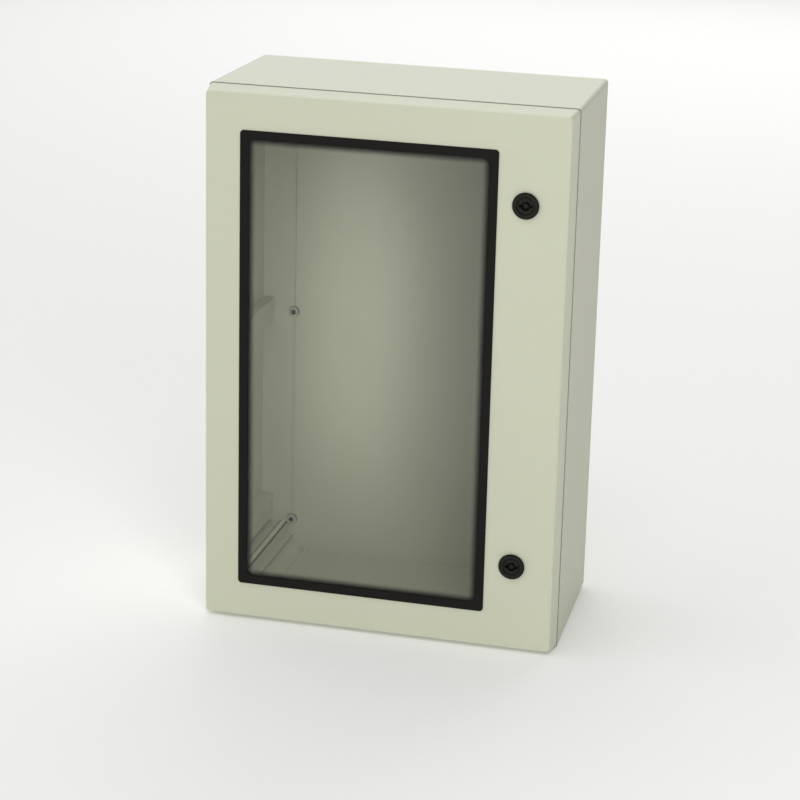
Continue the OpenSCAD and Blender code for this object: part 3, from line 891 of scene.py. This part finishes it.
    def ring(self, inner: float, outer: float) -> Tone:
        """Ring of painted shade or dark reflection round this lock's axis, through the whole depth of the
        lock.

        The pitch puts the row's next ring clear of this lock's pieces.

        Args:
            inner: the ring's inner radius.
            outer: the ring's outer radius.

        Returns:
            The ring's tone.
        """
        return Tone(self.ring_shade_colour, ring_group, {
            "Column X": self.axis_x, "Middle Z": self.axis_z, "Pitch Z": 4 * self.bezel_radius,
            "Inner": inner, "Outer": outer, "End Y": self.front_y + self.neck_length,
        })

    def housing_finish(self) -> bpy.types.Material:
        """Make the black finish with a painted dark reflection on the outer edge and a line of painted shade
        round the core.

        Returns:
            The material.
        """
        edge = self.ring(self.bezel_radius - self.bezel_round * self.shaded_edge_share, self.bezel_radius)
        line = self.ring(self.core_bore, self.core_bore + self.chamfer)
        return replace(LOCK_BLACK, name=f"{self.place}_housing_black", tones=(edge, line)).make()

    def dress(
        self, black: bpy.types.Material, rubber: bpy.types.Material, plated: bpy.types.Material
    ) -> None:
        """Build the finer pieces and finish the ones that are carried over.

        Args:
            black: finish of the core.
            rubber: finish of the flat seal.
            plated: finish of the metal pieces.
        """
        self.build_housing(self.housing_finish())
        self.build_nut(plated)
        self.build_washer(plated)
        self.build_screw(plated)
        carried = {"lock_core": black, "lock_seal": rubber, "lock_clip": plated, "lock_cam": plated}
        for node, finish in carried.items():
            dress_node(f"{self.place}_{node}", finish)


@dataclass(frozen=True)
class Moulding:
    """What the tub and the door share: the cabinet's outline and the seam between them."""

    half_width: float
    half_height: float
    seam_y: float = -79.4 * MM
    half_seam: float = 0.65 * MM
    seam_reach: float = 2 * MM
    # Painted shade in the seam between tub and door
    seam_shade_colour: Colour = (0.33, 0.335, 0.26)

    @classmethod
    def of_frame(cls) -> "Moulding":
        """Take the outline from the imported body, whose right side carries no hinge lug."""
        _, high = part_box("cabinet_body")
        return cls(high.x, high.z / 2)

    def band(self, colour: Colour, middle_y: float, half_depth: float, reach: float) -> Tone:
        """Painted shade or highlight in a band round the cabinet.

        Args:
            colour: the band's colour.
            middle_y: place of its middle along the depth.
            half_depth: half its depth.
            reach: how far it goes in from the outline.

        Returns:
            The tone.
        """
        return Tone(colour, band_group, {
            "Half Width": self.half_width, "Half Height": self.half_height,
            "Middle Y": middle_y, "Half Depth": half_depth, "Reach": reach,
        })

    def seam(self) -> Tone:
        """Painted shade on the faces inside the seam."""
        return self.band(self.seam_shade_colour, self.seam_y, self.half_seam, self.seam_reach)


@dataclass
class Door:
    """The glazed door: frame, pane, gasket and foam seal."""

    moulding: Moulding
    gasket: WindowGasket = field(default_factory=WindowGasket)
    seal: DoorSeal = field(default_factory=DoorSeal)
    pane: PaneFinish = field(default_factory=PaneFinish)
    skirt_y: float = -92.6 * MM
    half_skirt: float = 12.5 * MM
    skirt_reach: float = 5 * MM
    # Painted highlight on the skirt and the front's edge
    skirt_highlight_colour: Colour = (0.665, 0.682, 0.530)

    def skirt(self) -> Tone:
        """Painted highlight on the sloping skirt and along the front's edge, a little lighter than the front.
        """
        return self.moulding.band(self.skirt_highlight_colour, self.skirt_y, self.half_skirt, self.skirt_reach)

    def dress(self, rubber: bpy.types.Material, foam: bpy.types.Material) -> None:
        """Build the gasket and the seal, and finish the frame and the pane.

        Args:
            rubber: finish of the gasket.
            foam: finish of the seal.
        """
        # Painted highlight on the skirt and painted shade in the seam
        tones = (self.skirt(), self.moulding.seam())
        dress_node("door_frame", replace(SHELL, name="moulded_door", tones=tones).make())
        low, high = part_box("window_gasket")
        edge = Vector((self.gasket.face, 0.0, self.gasket.face))
        dress_node("window_pane", self.pane.make(low + edge, high - edge))
        finish_piece(self.gasket.build(), rubber, Body.DOOR, Slot.RUBBER, "window_gasket")
        finish_piece(self.seal.build(), foam, Body.DOOR, Slot.FOAM, "door_seal")


@dataclass
class Tub:
    """The cabinet's body with its thread inserts and hinge pins."""

    moulding: Moulding
    rim_y: float = -80 * MM
    wall_y: float = 101.5 * MM
    # Painted shades and highlights end here, inside the back wall, so that they don't show on its outside
    inside_end_y: float = 104 * MM
    boss_inset: float = 44 * MM
    boss_radius: float = 5.75 * MM
    boss_foot: float = 0.9 * MM
    bore_radius: float = 2.6 * MM
    rib_width: float = 2 * MM
    rib_foot: float = 0.6 * MM
    channel: float = 39 * MM
    bead_edge: float = 2 * MM
    bead_width: float = 4 * MM
    bead_height: float = 2.4 * MM
    groove: float = 1.6 * MM
    shadow_offset: float = 5.6 * MM
    half_shadow: float = 1.55 * MM
    # Width of the ledge at a channel's foot, and the heights between which the face below it gets painted
    # shade
    ledge: float = 6 * MM
    ledge_shade: tuple[float, float] = (20 * MM, 24 * MM)
    # How far a painted shade or highlight reaches to either side of the face that it lies on
    tone_skin: float = 0.3 * MM
    # Painted shade inside the thread bores
    bore_shade_colour: Colour = (0.03, 0.03, 0.025)
    # Painted shade round the bosses' feet
    foot_shade_colour: Colour = (0.27, 0.275, 0.215)
    # Painted shade along the ribs' feet
    rib_shade_colour: Colour = (0.40, 0.41, 0.32)
    # Painted shade in the grooves beside the bead
    groove_shade_colour: Colour = (0.06, 0.06, 0.05)
    # Painted highlight on the bead's top
    bead_highlight_colour: Colour = (0.74, 0.76, 0.585)
    shadow_colour: Colour = (0.38, 0.39, 0.305)
    # Painted shade on the face under the ledge
    ledge_shade_colour: Colour = (0.43, 0.44, 0.345)
    pins: tuple[str, ...] = ("hinge_pin_upper", "hinge_pin_middle", "hinge_pin_lower")

    def bosses(self, colour: Colour, inner: float, outer: float) -> Tone:
        """Painted shade in a ring on each of the six bosses.

        Args:
            colour: the ring's colour.
            inner: the ring's inner radius.
            outer: the ring's outer radius.

        Returns:
            The tone.
        """
        shape = self.moulding
        return Tone(colour, ring_group, {
            "Column X": shape.half_width - self.boss_inset, "Middle Z": shape.half_height,
            "Pitch Z": shape.half_height - self.boss_inset, "Inner": inner, "Outer": outer,
            "End Y": self.inside_end_y,
        })

    def lines(
        self, colour: Colour, across: tuple[float, float, float], level: tuple[float, float],
        depth: tuple[float, float],
    ) -> Tone:
        """Lines of painted shade or highlight beside a strip, mirrored left and right and up and down.

        Args:
            colour: the lines' colour.
            across: distance of the strip from the outline's side, of a line from the strip, and half a
                line's width.
            level: nearest and farthest distance from the outline's upper or lower end.
            depth: front and back end of the lines.

        Returns:
            The tone.
        """
        inset, offset, half_width = across
        shape = self.moulding
        return Tone(colour, line_group, {
            "Strip X": shape.half_width - inset, "Offset": offset, "Half Width": half_width,
            "Middle Z": shape.half_height, "Level": shape.half_height - sum(level) / 2,
            "Half Level": (level[1] - level[0]) / 2,
            "Middle Y": sum(depth) / 2, "Half Depth": (depth[1] - depth[0]) / 2,
        })

    def channel_shade_and_highlight(self) -> tuple[Tone, ...]:
        """Painted light along the corner channels: shade in the grooves, a highlight on the bead, a shade
        beside it, one under the ledge.

        Returns:
            The four tones.
        """
        half_bead, half_groove = self.bead_width / 2, self.groove / 2
        strip = self.channel - self.bead_edge - half_bead
        bead_top, skin = self.channel + self.bead_height, self.tone_skin
        grooves = (strip, half_bead + half_groove, half_groove), (self.channel - self.groove, self.channel)
        bead = (strip, 0.0, half_bead), (bead_top - skin, bead_top + skin)
        shadow = (strip, self.shadow_offset, self.half_shadow), (self.channel - skin, self.channel + skin)
        under_ledge = (self.channel + self.ledge, 0.0, 2 * skin), self.ledge_shade
        inside = (self.rim_y, self.inside_end_y)
        return (
            self.lines(self.groove_shade_colour, *grooves, inside),
            self.lines(self.bead_highlight_colour, *bead, inside),
            self.lines(self.shadow_colour, *shadow, inside),
            self.lines(self.ledge_shade_colour, *under_ledge, inside),
        )

    def rib_foot_shade(self) -> Tone:
        """Painted shade along the feet of the ribs that join the bosses on the back wall.

        Returns:
            The tone.
        """
        across = (self.boss_inset, (self.rib_width + self.rib_foot) / 2, self.rib_foot / 2)
        level = (self.boss_inset, self.moulding.half_height)
        depth = (self.wall_y - self.rib_foot, self.wall_y + self.rib_foot)
        return self.lines(self.rib_shade_colour, across, level, depth)

    def dress(self, plated: bpy.types.Material) -> None:
        """Finish the body and its metal pieces.

        Args:
            plated: finish of the hinge pins.
        """
        # Painted shade in the thread bores and round the bosses' feet; the seam, channels and ribs also get
        # painted light
        bore_shade = self.bosses(self.bore_shade_colour, 0.0, self.bore_radius)
        feet = self.bosses(self.foot_shade_colour, self.boss_radius, self.boss_radius + self.boss_foot)
        tones = (self.moulding.seam(), bore_shade, feet, *self.channel_shade_and_highlight(), self.rib_foot_shade())
        dress_node("cabinet_body", replace(SHELL, name="moulded_tub", tones=tones).make())
        # The inserts' bores get the same painted shade
        dress_node("plate_inserts", replace(PLATED, name="plated_insert", tones=(bore_shade,)).make())
        for node in self.pins:
            dress_node(node, plated)


@dataclass
class Lamp:
    """One square soft box that looks at a point."""

    name: str
    place: Point
    aim: Point
    side: float
    power: float

    def light(self) -> bpy.types.Light:
        """Make the soft box's light.

        Returns:
            The light.
        """
        light = bpy.data.lights.new(self.name, "AREA")
        light.size = self.side
        return light

    def build(self) -> bpy.types.Object:
        """Add the lamp, turned to its aim and hidden from refracted rays, which would leave bright specks.

        Returns:
            The lamp.
        """
        light = self.light()
        light.energy = self.power
        lamp = bpy.data.objects.new(self.name, light)
        lamp.location = self.place
        lamp.rotation_euler = (Vector(self.aim) - Vector(self.place)).to_track_quat("-Z", "Y").to_euler()
        lamp.visible_transmission = False
        bpy.context.scene.collection.objects.link(lamp)
        return lamp


@dataclass
class Beam(Lamp):
    """One soft beam with an upright oval section, which fades out from its middle; its side is the lens."""

    cone_deg: float = 13.0
    # Width of the oval as a share of its height
    narrow: float = 0.32
    fade: float = 1.0

    def light(self) -> bpy.types.Light:
        """Make the beam's light.

        Returns:
            The light.
        """
        light = bpy.data.lights.new(self.name, "SPOT")
        light.shadow_soft_size = self.side / 2
        light.spot_size = math.radians(self.cone_deg)
        light.spot_blend = self.fade
        return light

    def build(self) -> bpy.types.Object:
        """Add the beam and squeeze it to its oval section.

        Returns:
            The lamp.
        """
        lamp = super().build()
        lamp.scale = (self.narrow, 1.0, 1.0)
        return lamp


@dataclass
class Studio:
    """Pale floor, soft light and the camera at the photograph's angle."""

    floor_side: float = 30.0
    floor_colour: Colour = (0.92, 0.92, 0.91)
    floor_roughness: float = 0.9
    floor_specular: float = 0.1
    floor_glow: float = 0.10
    white: Colour = (1.0, 1.0, 1.0)
    # Strength of the sky's light from the left and from the right, and of the backdrop that is seen
    sky_left: float = 1.15
    sky_right: float = 0.0
    backdrop: float = 0.9
    lamps: tuple[Lamp, ...] = (
        Lamp("back_light", (0.0, 3.6, 2.6), (0.0, 0.0, 0.6), 4.0, 50.0),
        Lamp("key_light", (1.4, -2.8, 0.9), (0.0, 0.0, 0.35), 1.2, 18.5),
        Lamp("near_light", (0.9, -1.6, 1.6), (0.0, 0.0, 0.6), 0.6, 3.0),
        Lamp("high_light", (0.3, -1.3, 2.6), (0.0, 0.0, 0.6), 0.8, 8.0),
        Beam("window_light", (0.1, -2.2, 0.62), (-0.084, 0.1, 0.30), 0.06, 34.0),
    )
    image_px: float = 800.0
    sensor_mm: float = 36.0
    focal_px: float = 2577.5
    axis_px: tuple[float, float] = (391.58, 383.95)
    eye: Point = (0.64328, -2.64341, 1.14625)
    azimuth_deg: float = 13.948
    elevation_deg: float = 18.074
    roll_deg: float = 1.366
    farthest: float = 100.0

    def floor(self) -> None:
        """Lay a large flat floor under the cabinet."""
        half = self.floor_side / 2
        corners = [(-half, -half, 0.0), (half, -half, 0.0), (half, half, 0.0), (-half, half, 0.0)]
        mesh = bpy.data.meshes.new("studio_floor")
        mesh.from_pydata(corners, [], [(0, 1, 2, 3)])
        sheet = bpy.data.objects.new("studio_floor", mesh)
        bpy.context.scene.collection.objects.link(sheet)
        wiring, shader, _ = new_material("pale_floor")
        wiring.fill(shader, {
            "Base Color": (*self.floor_colour, 1.0), "Roughness": self.floor_roughness,
            "Specular IOR Level": self.floor_specular, "Emission Color": (*self.white, 1.0),
            "Emission Strength": self.floor_glow,
        })
        mesh.materials.append(bpy.data.materials["pale_floor"])

    def light(self) -> None:
        """Set plain colours, the lamps, and a sky that dims from left to right but shows an even backdrop."""
        scene = bpy.context.scene
        scene.view_settings.view_transform = "Standard"
        scene.world = bpy.data.worlds.new("studio_sky")
        scene.world.use_nodes = True
        wiring = Wiring(scene.world.node_tree)
        view = wiring.add("ShaderNodeTexCoord").outputs["Generated"]
        sideways = wiring.add("ShaderNodeSeparateXYZ", Vector=view).outputs["X"]
        ramp = wiring.add("ShaderNodeMapRange", Value=sideways, From_Min=-1.0, From_Max=1.0)
        wiring.fill(ramp, {"To Min": self.sky_left, "To Max": self.sky_right})
        seen = wiring.add("ShaderNodeLightPath").outputs["Is Camera Ray"]
        shown = wiring.add("ShaderNodeMix", Factor=seen, A=ramp.outputs["Result"], B=self.backdrop)
        sky = scene.world.node_tree.nodes["Background"]
        wiring.fill(sky, {"Color": (*self.white, 1.0), "Strength": shown.outputs["Result"]})
        for lamp in self.lamps:
            lamp.build()

    def camera(self) -> None:
        """Set the camera where the photograph was taken from, with its roll and its small shift."""
        data = bpy.data.cameras.new("camera")
        data.sensor_width = self.sensor_mm
        data.lens = self.sensor_mm * self.focal_px / self.image_px
        data.shift_x = 0.5 - self.axis_px[0] / self.image_px
        data.shift_y = self.axis_px[1] / self.image_px - 0.5
        data.clip_end = self.farthest
        azimuth, elevation = math.radians(self.azimuth_deg), math.radians(self.elevation_deg)
        flat = math.cos(elevation)
        ahead = Vector((-math.sin(azimuth) * flat, math.cos(azimuth) * flat, -math.sin(elevation)))
        turn = ahead.to_track_quat("-Z", "Y").to_matrix().to_4x4()
        roll = Matrix.Rotation(math.radians(self.roll_deg), 4, "Z")
        camera = bpy.data.objects.new("camera", data)
        camera.matrix_world = Matrix.Translation(Vector(self.eye)) @ turn @ roll
        bpy.context.scene.collection.objects.link(camera)
        bpy.context.scene.camera = camera

    def build(self) -> None:
        """Build the whole studio."""
        self.floor()
        self.light()
        self.camera()
        log.info("studio has a floor, %d lamps and a camera", len(self.lamps))


def main() -> None:
    """Build the cabinet's looks in order: finishes, tub, door, locks and studio."""
    logging.basicConfig(level=logging.INFO, format="%(name)s: %(message)s")
    rubber, foam, black, plated = RUBBER.make(), FOAM.make(), LOCK_BLACK.make(), PLATED.make()
    moulding = Moulding.of_frame()
    Tub(moulding).dress(plated)
    Door(moulding).dress(rubber, foam)
    for place, body in (("upper", Body.UPPER_LOCK), ("lower", Body.LOWER_LOCK)):
        Lock(place, body).dress(black, rubber, plated)
    Studio().build()


if __name__ == "__main__":
    main()
